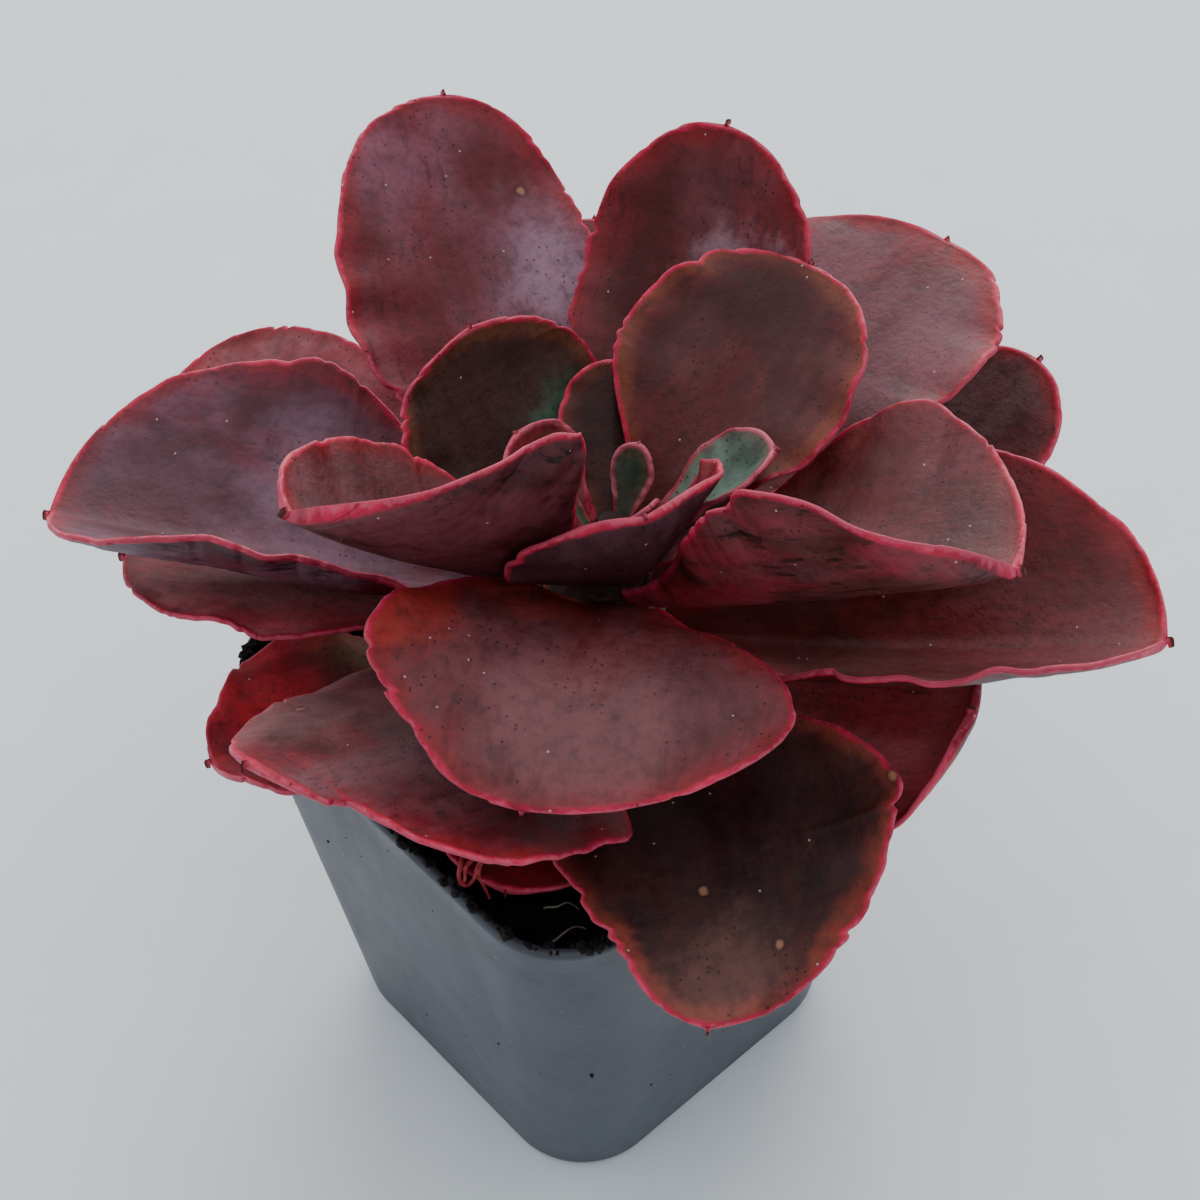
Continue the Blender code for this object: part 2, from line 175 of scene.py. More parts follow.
def paint(code):
    """A colour of a paint chart, written as two hex digits for each of red, green and blue."""
    shown = [int(code[i:i + 2], 16) / 255 for i in (0, 2, 4)]
    return tuple(((c + 0.055) / 1.055) ** 2.4 if c > 0.04045 else c / 12.92 for c in shown) + (1,)


def new_skin(name, fixed):
    """A material with one Principled shader, whose fixed sockets are set, and the tree that feeds it."""
    material = bpy.data.materials.new(name)
    material.use_nodes = True
    shader = material.node_tree.nodes["Principled BSDF"]
    for socket, value in fixed.items():
        shader.inputs[socket].default_value = value
    return material, Tree(material.node_tree), shader


def pot_plastic():
    """Satin grey plastic, clouded and dusty, darker in patches towards the top of the wall under the rim,
    with pale dried splashes.
    """
    material, tree, shader = new_skin("pot plastic", {"Specular IOR Level": 0.5})
    place = tree.piece_place()
    height = place.parts()[2]
    cloud = tree.noise(place, 45, 4, 0.6)
    dust = tree.noise(place, 160, 6, 0.7)
    smear = tree.noise(place * (1, 1, 0.25), 120, 4, 0.6)
    # Darker towards the top of the wall, under the rim, in patches that follow the dust.
    top_darkening = height.rise(0.045, 0.070) * dust.rise(0.45, 0.70)
    colour = tree.mix(cloud.rise(0.30, 0.75), paint("3d4047"), paint("4a4e55"))
    colour = tree.mix(smear.rise(0.50, 0.75) * 0.35, colour, paint("6b6f72"))
    colour = tree.mix(top_darkening * 0.35, colour, paint("23221f"))
    specks = tree.cells(place, 420)
    colour = tree.mix(specks.rise(0.10, 0.05) * dust.rise(0.50, 0.60) * 0.8, colour, paint("8d8c86"))
    tree.fill(shader.inputs["Base Color"], colour)
    tree.fill(shader.inputs["Roughness"], 0.40 + dust * 0.14 + smear.rise(0.45, 0.70) * 0.12)
    grain = tree.noise(place, 1400, 2, 0.5) + tree.noise(place, 140, 2, 0.5) * 1.5
    tree.emboss(shader, 0.25, 0.0002, grain)
    return material


def square_ring(size, corner, height, segments):
    """Points round a square with rounded corners, from the +X side's middle towards +Y."""
    reach = size / 2 - corner
    ring = []
    for turn, (side_x, side_y) in enumerate(((1, 1), (-1, 1), (-1, -1), (1, -1))):
        for step in range(segments + 1):
            angle = math.radians(90) * (turn + step / segments)
            ring.append((side_x * reach + corner * math.cos(angle), side_y * reach + corner * math.sin(angle),
                         height))
    return ring


def loft(name, rings, material):
    """A closed body through rings with the same number of points; its first and last rings are filled."""
    body = bmesh.new()
    rows = [[body.verts.new(point) for point in ring] for ring in rings]
    for low, high in zip(rows, rows[1:]):
        for i in range(len(low)):
            j = (i + 1) % len(low)
            body.faces.new((low[i], low[j], high[j], high[i]))
    body.faces.new(rows[0])
    body.faces.new(rows[-1])
    bmesh.ops.recalc_face_normals(body, faces=body.faces)
    return finish_mesh(name, body, material)


def finish_mesh(name, body, material):
    """Makes a piece of a body, smooth except at its sharp edges."""
    mesh = bpy.data.meshes.new(name)
    body.to_mesh(mesh)
    body.free()
    mesh.shade_smooth()
    mesh.set_sharp_from_angle(angle=math.radians(35))
    mesh.materials.append(material)
    piece = bpy.data.objects.new(name, mesh)
    bpy.context.scene.collection.objects.link(piece)
    return piece


def plain_mesh(piece, name):
    """Turns a piece and its modifiers into a plain mesh under a new name."""
    bpy.context.view_layer.update()
    graph = bpy.context.evaluated_depsgraph_get()
    mesh = bpy.data.meshes.new_from_object(piece.evaluated_get(graph))
    bpy.data.objects.remove(piece)
    mesh.name = name
    made = bpy.data.objects.new(name, mesh)
    bpy.context.scene.collection.objects.link(made)
    return made


MM = 0.001
POT_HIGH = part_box("pot")[1].z
POT_TOP = 70 * MM
POT_BASE = 55 * MM
POT_CORNER = 12 * MM
POT_WALL = 1.3 * MM
BAND_HIGH = 5 * MM
BAND_STEP = 0.3 * MM
BAND_ROUND = 1.2 * MM
FOOT_ROUND = 1.2 * MM
FLOOR_ROUND = 1 * MM
DRAIN_RADIUS = 3.5 * MM
DRAIN_PLACE = 15 * MM
DRAIN_STEPS = 40
LIP_STEPS = 6
CORNER_STEPS = 24


def pot_size(height):
    """The pot's outer width at a height, without the rim band."""
    return POT_BASE + (POT_TOP - POT_BASE) * height / POT_HIGH


pot_rings = [(pot_size(0) - 2 * FOOT_ROUND, POT_CORNER - FOOT_ROUND, 0)]
for step in range(1, LIP_STEPS + 1):
    angle = math.radians(90) * step / LIP_STEPS
    inset = FOOT_ROUND * (1 - math.sin(angle))
    high = FOOT_ROUND * (1 - math.cos(angle))
    pot_rings.append((pot_size(high) - 2 * inset, POT_CORNER - inset, high))
for high in (20 * MM, 40 * MM, 55 * MM, POT_HIGH - BAND_HIGH - 0.3 * MM, POT_HIGH - BAND_HIGH):
    pot_rings.append((pot_size(high), POT_CORNER, high))
for share in (0.35, 0.8, 1.0):
    high = POT_HIGH - BAND_HIGH + BAND_STEP * share
    pot_rings.append((pot_size(high) + 2 * BAND_STEP * share**1.5, POT_CORNER + BAND_STEP * share, high))
high = POT_HIGH - BAND_ROUND
pot_rings.append((pot_size(high) + 2 * BAND_STEP, POT_CORNER + BAND_STEP, high))
lip = (POT_WALL + BAND_STEP) / 2
for step in range(LIP_STEPS * 2 + 1):
    angle = math.radians(180) * step / (LIP_STEPS * 2)
    inset = lip * (1 - math.cos(angle))
    high = POT_HIGH - lip + lip * math.sin(angle)
    pot_rings.append((POT_TOP + 2 * BAND_STEP - 2 * inset, POT_CORNER + BAND_STEP - inset, high))
for high in (55 * MM, 30 * MM, 3 * MM, POT_WALL):
    inset = 2 * POT_WALL + (FLOOR_ROUND if high == POT_WALL else 0)
    pot_rings.append((pot_size(high) - inset, POT_CORNER - POT_WALL, high))
shell = loft("pot shell", [square_ring(*ring, CORNER_STEPS) for ring in pot_rings], pot_plastic())
cutters = []
for side_x, side_y in ((-1, -1), (-1, 1), (1, -1), (1, 1)):
    drill = bmesh.new()
    bmesh.ops.create_cone(drill, cap_ends=True, segments=DRAIN_STEPS, radius1=DRAIN_RADIUS,
                          radius2=DRAIN_RADIUS, depth=8 * MM)
    bmesh.ops.translate(drill, verts=drill.verts, vec=(side_x * DRAIN_PLACE, side_y * DRAIN_PLACE, 0))
    cutters.append(finish_mesh(f"drain {side_x} {side_y}", drill, shell.data.materials[0]))
    cut = shell.modifiers.new("drain", "BOOLEAN")
    cut.object = cutters[-1]
pot = plain_mesh(shell, "pot_shell")
for cutter in cutters:
    bpy.data.objects.remove(cutter)
pot.data.shade_smooth()
pot.data.set_sharp_from_angle(angle=math.radians(50))
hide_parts("pot")
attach(pot, "root")


# The soil: peat-black potting mix that fills the pot to a little below the rim, loose and crumbly on top.
# Crumbs of it lie on the surface, stick in a crust along the rim and dot the wall where water ran over.


def soil_black():
    """Damp peat, nearly black, with a few brown fibres."""
    material, tree, shader = new_skin("potting soil", {"Specular IOR Level": 0.25})
    place = tree.piece_place()
    clump = tree.noise(place, 260, 5, 0.65)
    grain = tree.cells(place, 900)
    colour = tree.mix(clump.rise(0.35, 0.70), paint("0c0b0c"), paint("1d1917"))
    colour = tree.mix(grain.rise(0.55, 0.75) * clump.rise(0.50, 0.65) * 0.5, colour, paint("3a2d25"))
    tree.fill(shader.inputs["Base Color"], colour)
    tree.fill(shader.inputs["Roughness"], 0.72 + clump * 0.25)
    tree.emboss(shader, 0.6, 0.0003, clump * 1.6 + grain)
    return material


def grow_tree(name, inputs, build):
    """A Geometry Nodes tree with named inputs; build makes the geometry from them, and a last pair of nodes
    makes its instances real and gives it the skin."""
    group = bpy.data.node_groups.new(name, "GeometryNodeTree")
    group.interface.new_socket("Guide", in_out="INPUT", socket_type="NodeSocketGeometry")
    for label, kind in inputs.items():
        group.interface.new_socket(label, in_out="INPUT", socket_type="NodeSocket" + kind)
    group.interface.new_socket("Skin", in_out="INPUT", socket_type="NodeSocketMaterial")
    group.interface.new_socket("Result", in_out="OUTPUT", socket_type="NodeSocketGeometry")
    tree = Tree(group)
    given = tree.node("NodeGroupInput", {}, {})
    made = build(tree, given)
    real = tree.node("GeometryNodeRealizeInstances", {}, {"Geometry": made})
    skinned = tree.node("GeometryNodeSetMaterial", {}, {"Geometry": real, "Material": given.other("Skin")})
    tree.node("NodeGroupOutput", {}, {"Result": skinned})
    return group


def grown(name, guide_mesh, group, values):
    """The plain mesh that a Geometry Nodes tree makes from a guide."""
    guide = bpy.data.objects.new(name + " guide", guide_mesh)
    bpy.context.scene.collection.objects.link(guide)
    growth = guide.modifiers.new("growth", "NODES")
    growth.node_group = group
    for label, value in values.items():
        growth[group.interface.items_tree[label].identifier] = value
    return plain_mesh(guide, name)


def crumb_nodes(tree, given):
    """Rough grains, thick in some patches and thin in others, over the faces that look up enough."""
    facing_up = tree.node("GeometryNodeInputNormal", {}, {}).parts()[2] > given.other("Steepest")
    patchy = tree.noise(tree.node("GeometryNodeInputPosition", {}, {}), 130, 2, 0.5)
    scattered = tree.node("GeometryNodeDistributePointsOnFaces", {},
                          {"Mesh": given, "Selection": facing_up,
                           "Density": given.other("Density") * patchy.rise(0.40, 0.60), "Seed": 11})
    ball = tree.node("GeometryNodeMeshIcoSphere", {}, {"Radius": 1.0, "Subdivisions": 1})
    wobble = tree.noise(tree.node("GeometryNodeInputPosition", {}, {}), 1.6, 1, 0.5).other("Color")
    grain = tree.node("GeometryNodeSetPosition", {},
                      {"Geometry": ball, "Offset": (wobble - (0.5, 0.5, 0.5)) * 1.3})
    draw = tree.node("FunctionNodeRandomValue", {"data_type": "FLOAT"}, {"Min": 0.0, "Max": 1.0, "Seed": 5})
    size = given.other("Smallest") + (given.other("Largest") - given.other("Smallest")) * draw**4
    squeeze = tree.node("FunctionNodeRandomValue", {"data_type": "FLOAT_VECTOR"},
                        {"Min": (0.6, 0.6, 0.5), "Max": (1.2, 1.2, 0.9), "Seed": 6})
    turn = tree.node("FunctionNodeRandomValue", {"data_type": "FLOAT_VECTOR"},
                     {"Min": (0.0, 0.0, 0.0), "Max": (6.28, 6.28, 6.28), "Seed": 7})
    return tree.node("GeometryNodeInstanceOnPoints", {},
                     {"Points": scattered, "Instance": grain, "Scale": squeeze * size, "Rotation": turn})


def scatter_crumbs(name, guide, steepest, density, smallest, largest):
    """Crumbs over a guide: so many to the square metre, between two sizes in millimetres."""
    return grown(name, guide, crumb_tree, {
        "Steepest": steepest, "Density": density, "Smallest": smallest * MM, "Largest": largest * MM,
        "Skin": soil.data.materials[0]})


def band_mesh(name, low, high):
    """The band of faces between two rings of points, as a guide for crumbs."""
    band = bmesh.new()
    rows = [[band.verts.new(point) for point in square_ring(*ring, CORNER_STEPS)] for ring in (low, high)]
    for i in range(len(rows[0])):
        j = (i + 1) % len(rows[0])
        band.faces.new((rows[0][i], rows[0][j], rows[1][j], rows[1][i]))
    mesh = bpy.data.meshes.new(name)
    band.to_mesh(mesh)
    band.free()
    return mesh


SOIL_LEVEL = 60.5 * MM
SOIL_PLAY = 0.6 * MM
SOIL_CORNER = POT_CORNER - POT_WALL
SOIL_STEPS = 44
LUMP_SPAN = 6 * MM
LUMP_HIGH = 3.2 * MM
soil_rings = []
for high in (POT_WALL + 0.3 * MM, 30 * MM, 50 * MM, SOIL_LEVEL - 1.5 * MM):
    soil_rings.append((pot_size(high) - 2 * POT_WALL - SOIL_PLAY, SOIL_CORNER, high))
soil_top = pot_size(SOIL_LEVEL) - 2 * POT_WALL - SOIL_PLAY
for step in range(SOIL_STEPS):
    shrink = 1 - step / SOIL_STEPS
    soil_rings.append((soil_top * shrink, SOIL_CORNER * shrink, SOIL_LEVEL))
soil = loft("soil_fill", [square_ring(*ring, CORNER_STEPS) for ring in soil_rings], soil_black())
heap = bpy.data.textures.new("soil heap", "CLOUDS")
heap.noise_scale = LUMP_SPAN
heap.noise_depth = 4
upper = soil.vertex_groups.new(name="upper")
for vert in soil.data.vertices:
    if vert.co.z > SOIL_LEVEL - 1 * MM:
        upper.add([vert.index], 1.0, "REPLACE")
lumps = soil.modifiers.new("lumps", "DISPLACE")
lumps.texture = heap
lumps.texture_coords = "LOCAL"
lumps.direction = "Z"
lumps.vertex_group = "upper"
lumps.mid_level = 0.45
lumps.strength = LUMP_HIGH
soil = plain_mesh(soil, "soil_fill")
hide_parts("soil")

crumb_tree = grow_tree("soil crumbs", {"Steepest": "Float", "Density": "Float", "Smallest": "Float",
                                       "Largest": "Float"}, crumb_nodes)
crumbs = scatter_crumbs("soil_crumbs", soil.data.copy(), 0.5, 420000.0, 0.25, 1.5)
rim_top = band_mesh("rim top", (POT_TOP + 2 * BAND_STEP - 0.8 * MM, POT_CORNER, POT_HIGH),
                    (POT_TOP + 2 * BAND_STEP - 3.4 * MM, POT_CORNER - 1.3 * MM, POT_HIGH))
crust = scatter_crumbs("rim_crust", rim_top, 0.5, 5200000.0, 0.28, 1.0)
wall_side = band_mesh("wall side", (pot_size(12 * MM), POT_CORNER, 12 * MM),
                      (pot_size(64 * MM), POT_CORNER, 64 * MM))
splash = scatter_crumbs("wall_crumbs", wall_side, -1.0, 9000.0, 0.12, 0.55)
for piece in (soil, crumbs, crust, splash):
    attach(piece, "root")


# The stem: one short stout stem, wine brown and scarred where old leaves came off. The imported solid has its
# shape; only its bark is finished here.


def stem_bark():
    """Thin brown bark, ringed with pale scars."""
    material, tree, shader = new_skin("stem bark", {"Specular IOR Level": 0.3})
    place = tree.piece_place()
    cloud = tree.noise(place, 160, 5, 0.6)
    scars = tree.noise(place * (1, 1, 5), 220, 3, 0.6)
    colour = tree.mix(cloud.rise(0.3, 0.7), paint("22100f"), paint("3e2019"))
    colour = tree.mix(scars.rise(0.55, 0.70) * 0.5, colour, paint("6e5240"))
    tree.fill(shader.inputs["Base Color"], colour)
    tree.fill(shader.inputs["Roughness"], 0.65 + cloud * 0.25)
    tree.emboss(shader, 0.7, 0.0006, scars + cloud)
    return material


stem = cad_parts["stem"]
stem.data.materials.clear()
stem.data.materials.append(stem_bark())


# The lowest leaves: the oldest of the rosette, broad and dull, which lie out over the rim and droop past it.
# Each leaf is one thick blade of flesh with a creased midrib, a beaded crimson margin and a small point.

# How a blade bends: the share of its fold that sits in the crease, and how late the other bends set in.
CREASE_SHARE = 0.35
CURL_POWER = 5
FOLD_POWER = 1.5
WAVE_SHARE = 0.66
QUICK_WAVES = 2.3
WAVE_POWER = 2.5
LAP_POWER = 5
# How its margin is worn: the depth and span of each unevenness.
SWAY, SWAY_SPAN = 0.42 * MM, 7 * MM
FRAY, FRAY_SPAN = 0.22 * MM, 2.6 * MM
TOOTH, TOOTH_SPAN, TOOTH_PATCH = 0.42 * MM, 1.2 * MM, 12 * MM
CRINKLE, CRINKLE_SPAN = 0.42 * MM, 3.6 * MM
TIP_LENGTH, TIP_HALF = 0.8 * MM, 0.55 * MM
# How thick it is, with a fine bead inside its margin and gentle swellings.
LEAF_EDGE = 0.62 * MM
THIN_TO_TIP = 0.55
BEAD_HIGH, BEAD_PLACE, BEAD_WIDE = 0.05 * MM, 0.5 * MM, 0.45 * MM
RELIEF_HIGH, RELIEF_FADE = 0.35 * MM, 2.5 * MM
STEM_GAP = 0.3 * MM
FULL_LENGTH = 45 * MM
SMALL_LENGTH = 30 * MM
MIDRIB_STEPS = 400
CROWDING = 0.46


@dataclass
class Leaf:
    """One leaf: lengths in metres, angles in degrees; left and right are seen looking outward from above.
    A nick is (side, share of the length, depth, half its span in shares), with 1 for left and -1 for right; a
    depth below 0 is a bulge. The laps bend the left and right margins up, or down below 0."""

    name: str
    facing: float
    height: float
    length: float
    width: float
    rise: tuple
    curl: float = 0
    sweep: float = 0
    roll: float = 0
    left: float = 20
    right: float = 20
    left_width: float = 1.0
    right_width: float = 1.0
    widest: float = 0.62
    blunt: float = 2.3
    foot: float = 0.0040
    foot_fold: float = 0.8
    tip_fold: float = 0.6
    wave: float = 0.0008
    waves: float = 2.5
    thick: float = 0.0022
    standoff: float = 0.0
    nicks: tuple = ()
    laps: tuple = (0, 0)
    seed: int = 0

    def is_small(self):
        return self.length < SMALL_LENGTH

    def growth(self):
        """The share of full growth, which the small details of the margin keep to."""
        return min(1, self.length / FULL_LENGTH)


def stem_axis(height):
    """The stem's middle and radius at a height: it leans back and thins out in a dome."""
    foot, high, dome_foot, dome_high = 0.058, 0.035, 0.074, 0.019
    lean = 0.001 + 0.005 * (height - foot) / high
    dome = max(0, (height - dome_foot) / dome_high)
    return 0, lean, 0.0085 + (0.0018 - 0.0085) * dome**1.3


def rough_line(draw, places, wavelength, power=1.0):
    """Smooth random numbers between -1 and 1 along a line."""
    knots = np.arange(places.min() - 2 * wavelength, places.max() + 3 * wavelength, wavelength)
    heights = np.array([draw.uniform(-1, 1) for _ in knots])
    heights = np.sign(heights) * abs(heights) ** power
    spot = (places - knots[0]) / wavelength
    low = np.floor(spot).astype(int)
    part = spot - low
    part = part * part * (3 - 2 * part)
    return heights[low] * (1 - part) + heights[low + 1] * part


def leaf_outline(leaf, share, side):
    """The half width at shares of the length on one side (1 is left, -1 right), and its plain slope. The
    margin is finely uneven, with a few small nicks where it was knocked, and it ends in the small point."""
    widest = leaf.width / 2 * (leaf.left_width if side > 0 else leaf.right_width)
    up = np.clip(share / leaf.widest, 0, 1)
    swelling = leaf.foot + (widest - leaf.foot) * (3 * up**2 - 2 * up**3)
    down = np.clip((share - leaf.widest) / (1 - leaf.widest), 0, 1)
    outline = np.where(share < leaf.widest, swelling, widest * np.sqrt(1 - down**leaf.blunt))
    for nick_side, place, depth, reach in leaf.nicks:
        if nick_side == side:
            outline = outline - depth * np.clip(1 - abs(share - place) / reach, 0, 1) ** 1.3
    slope = np.gradient(outline, np.maximum.accumulate(share * leaf.length + np.arange(len(share)) * 1e-8))
    draw = random.Random(100 + leaf.seed * 2 + side)
    run = np.concatenate([[0], np.cumsum(np.hypot(np.diff(share * leaf.length), np.diff(outline)))])
    scale = leaf.growth()
    uneven = SWAY * rough_line(draw, run, SWAY_SPAN) + FRAY * rough_line(draw, run, FRAY_SPAN, 1.5)
    teeth = np.maximum(0, rough_line(draw, run, TOOTH_SPAN, 1.6)) * TOOTH
    teeth = teeth * np.clip(0.7 + 0.8 * rough_line(draw, run, TOOTH_PATCH), 0.15, 1.3)
    bites = np.zeros_like(run)
    for _ in range(draw.choice((2, 3, 4))):
        centre = draw.uniform(0.35, 0.97) * run[-1]
        bites = np.maximum(bites, draw.uniform(0.4, 1.0) * MM
                           * np.clip(1 - abs(run - centre) / (draw.uniform(0.5, 1.3) * MM), 0, 1))
    ends = np.clip(share / 0.15, 0, 1) * np.clip(outline / (3 * MM), 0, 1)
    outline = outline + (uneven - teeth - bites) * scale * ends
    left_over = 1 + TIP_LENGTH / leaf.length * scale - share
    point = TIP_HALF * scale * np.clip(left_over * leaf.length / (1.5 * MM * scale), 0, 1)
    return np.maximum(outline, np.where(share > 0.9, point, 0)), slope


def leaf_rows(leaf):
    """Shares of the length for the rows of points, and how far each row is opened (0 closes an end)."""
    to_widest, round_off = (48, 44) if leaf.is_small() else (115, 105)
    shares = [leaf.widest * i / to_widest for i in range(1, to_widest)]
    shares += [leaf.widest + (1 - leaf.widest) * math.sin(math.radians(90) * i / round_off)
               for i in range(round_off + 1)]
    beyond = TIP_LENGTH / leaf.length * leaf.growth()
    shares += [1 + beyond * step for step in (0.12, 0.3, 0.5, 0.7, 0.85, 0.95, 1.0)]
    start = [(0, 0), (0, 0.55), (0, 0.85), (0.002, 1)]
    rows = start + [(share, 1) for share in shares]
    return np.array([share for share, _ in rows]), np.array([taper for _, taper in rows])


def midrib_guide(leaf):
    """The midrib as a line of points; each one carries the section's directions, widths and ripple."""
    share, taper = leaf_rows(leaf)
    inside = np.minimum(share, 1)
    facing = math.radians(leaf.facing)
    outward = np.array([math.cos(facing), math.sin(facing), 0])
    leftward = np.array([-math.sin(facing), math.cos(facing), 0])
    upward = np.array([0, 0, 1])
    middle_x, middle_y, radius = stem_axis(leaf.height)
    foot = np.array([middle_x, middle_y, leaf.height]) + outward * (radius + STEM_GAP + leaf.standoff)

    steps = np.linspace(0, 1, MIDRIB_STEPS)
    slope = np.radians(leaf.rise[0] + (leaf.rise[1] - leaf.rise[0]) * steps + leaf.curl * steps**CURL_POWER)
    veer = math.radians(leaf.sweep) * steps
    heading = np.stack([np.cos(slope) * np.cos(veer), np.cos(slope) * np.sin(veer), np.sin(slope)])
    halfway = (heading[:, 1:] + heading[:, :-1]) / 2 / (MIDRIB_STEPS - 1)
    place = np.concatenate([np.zeros((3, 1)), np.cumsum(halfway, axis=1)], axis=1)
    place, heading = [np.array([np.interp(inside, steps, row) for row in table])
                      for table in (place, heading)]
    axes = np.array([outward, leftward, upward])
    heading = heading.T @ axes
    heading = heading / np.linalg.norm(heading, axis=1, keepdims=True)
    rib = foot + leaf.length * (place.T @ axes + heading * (share - inside)[:, None])

    veer = (math.radians(leaf.sweep) * inside)[:, None]
    sideways = np.cos(veer) * leftward - np.sin(veer) * outward
    normal = np.cross(heading, sideways)
    roll = (math.radians(leaf.roll) * inside)[:, None]
    tilted = np.cos(roll) * sideways + np.sin(roll) * normal
    normal = np.cos(roll) * normal - np.sin(roll) * sideways

    opening = leaf.foot_fold + (1 - leaf.foot_fold) * np.sin(math.pi * inside)
    closing = 1 + (leaf.tip_fold - 1) * np.clip(2 * inside - 1, 0, 1) ** FOLD_POWER
    fold = np.where(inside < 0.5, opening, closing)
    draw = random.Random(leaf.seed)
    phases = [draw.uniform(0, 2 * math.pi) for _ in range(4)]
    swell = WAVE_SHARE * leaf.wave * np.sqrt(np.maximum(np.sin(math.pi * inside), 0))
    widths, slopes, ripples = [], [], []
    for side, slow, quick in ((1, phases[0], phases[1]), (-1, phases[2], phases[3])):
        width, slope = leaf_outline(leaf, share, side)
        width[-1] = 0
        distance = share * leaf.length
        widths.append(width)
        slopes.append(slope)
        turn = 2 * math.pi * leaf.waves * inside
        crinkle = CRINKLE * rough_line(draw, distance, CRINKLE_SPAN) * np.clip(width / (4 * MM), 0, 1)
        ripples.append(swell * (np.sin(slow + turn) + 0.5 * np.sin(quick + QUICK_WAVES * turn)) + crinkle)
    mesh = bpy.data.meshes.new(leaf.name + " midrib")
    mesh.from_pydata([tuple(point) for point in rib], [], [])
    carried = {"sideways": tilted, "upward": normal, "widths": np.stack([*widths, share], 1),
               "slopes": np.stack([*slopes, fold], 1), "ripples": np.stack([*ripples, taper], 1)}
    for name, values in carried.items():
        attribute = mesh.attributes.new(name, "FLOAT_VECTOR", "POINT")
        attribute.data.foreach_set("vector", np.ascontiguousarray(values, np.float32).ravel())
    return mesh, len(share)


def blade_nodes(tree, given):
    """A loop round the blade for each point of the midrib: over the upper face, then back underneath. Each
    point keeps its flat place on the leaf, in millimetres, and which face it is on, for the skin."""
    rows = given.other("Rows")
    grid = tree.node("GeometryNodeMeshGrid", {},
                     {"Size X": 1.0, "Size Y": 1.0, "Vertices X": given.other("Loop points"),
                      "Vertices Y": rows})
    spot_x, spot_y, _ = tree.node("GeometryNodeInputPosition", {}, {}).parts()
    turn = spot_x + 0.5
    row = ((spot_y + 0.5) * (rows - 1)).take("ROUND")

    def at_row(value):
        return tree.node("GeometryNodeSampleIndex", {"data_type": "FLOAT_VECTOR", "domain": "POINT"},
                         {"Geometry": given, "Value": value, "Index": row})

    def carried(name):
        return at_row(tree.node("GeometryNodeInputNamedAttribute", {"data_type": "FLOAT_VECTOR"},
                                {"Name": name}))

    rib = at_row(tree.node("GeometryNodeInputPosition", {}, {}))
    left_width, right_width, share = carried("widths").parts()
    left_slope, right_slope, fold = carried("slopes").parts()
    left_ripple, right_ripple, taper = carried("ripples").parts()
    sideways, upward = carried("sideways"), carried("upward")

    under = turn > 0.5
    loop = 1 - abs(4 * turn - 2)
    across = loop * (1 + CROWDING) - loop**3 * CROWDING
    reach = abs(across)
    is_left = across > 0
    side = across.take("SIGN")

    def sided(left, right):
        return right + (left - right) * is_left

    width = sided(left_width, right_width)
    slope = sided(left_slope, right_slope)
    lift = sided(given.other("Left lift"), given.other("Right lift")) * fold
    crease = lift * CREASE_SHARE
    curl = lift * (1 - CREASE_SHARE)
    angle = crease + curl * reach
    sine, cosine = angle.take("SINE"), angle.take("COSINE")
    flat = width * (sine - crease.take("SINE")) / curl
    raised = width * (crease.take("COSINE") - cosine) / curl
    ripple = sided(left_ripple, right_ripple) * reach**WAVE_POWER
    flat = side * (flat - sine * ripple)
    lap = sided(given.other("Left lap"), given.other("Right lap"))
    long_share = share.at_most(1.0)
    arch = (long_share * math.pi).take("SINE")
    raised = raised + cosine * ripple + lap * arch * reach**LAP_POWER
    outward = sideways * (0 - sine * side) + upward * cosine

    steepness = reach * reach + slope * slope + 0.0004
    edge = width * (1 - reach * reach) / (2 * steepness**0.5)
    fullness = (1 - reach * reach) * (1 - THIN_TO_TIP * long_share)
    flesh = LEAF_EDGE + (given.other("Thickness") - LEAF_EDGE) * fullness
    off_bead = (edge - BEAD_PLACE) / BEAD_WIDE
    bead = given.other("Bead") * (0 - off_bead * off_bead).take("EXPONENT")
    inside = (edge / (flesh / 2)).at_most(1.0)
    rounding = (inside * (2 - inside)) ** 0.5
    across_mm = side * reach * width / MM
    along_mm = share * given.other("Length") / MM
    flat_place = tree.node("ShaderNodeCombineXYZ", {}, {0: across_mm, 1: along_mm, 2: edge / MM})
    relief_place = tree.node("ShaderNodeCombineXYZ", {},
                             {0: across_mm, 1: along_mm * 0.5, 2: given.other("Chance")})
    swelling = tree.noise(relief_place, 0.22, 2, 0.5) - 0.5
    relief = swelling * given.other("Relief") * (edge / RELIEF_FADE).at_most(1.0)
    offset = (1 - 2 * under) * (flesh / 2 + bead) * rounding - flesh / 2 + relief
    blade_place = rib + (sideways * flat + upward * raised + outward * offset) * taper

    marked = tree.node("GeometryNodeStoreNamedAttribute", {"data_type": "FLOAT_VECTOR"},
                       {"Geometry": grid, "Name": "blade", "Value": flat_place})
    marked = tree.node("GeometryNodeStoreNamedAttribute", {"data_type": "FLOAT"},
                       {"Geometry": marked, "Name": "under", "Value": under})
    shaped = tree.node("GeometryNodeSetPosition", {}, {"Geometry": marked, "Position": blade_place})
    closed = tree.node("GeometryNodeMergeByDistance", {}, {"Geometry": shaped, "Distance": 0.002 * MM})
    return tree.node("GeometryNodeSetShadeSmooth", {}, {"Geometry": closed})


blade_tree = grow_tree("leaf blade", {
    "Rows": "Int", "Loop points": "Int", "Length": "Float", "Thickness": "Float", "Left lift": "Float",
    "Right lift": "Float", "Left lap": "Float", "Right lap": "Float", "Bead": "Float", "Relief": "Float",
    "Chance": "Float"}, blade_nodes)


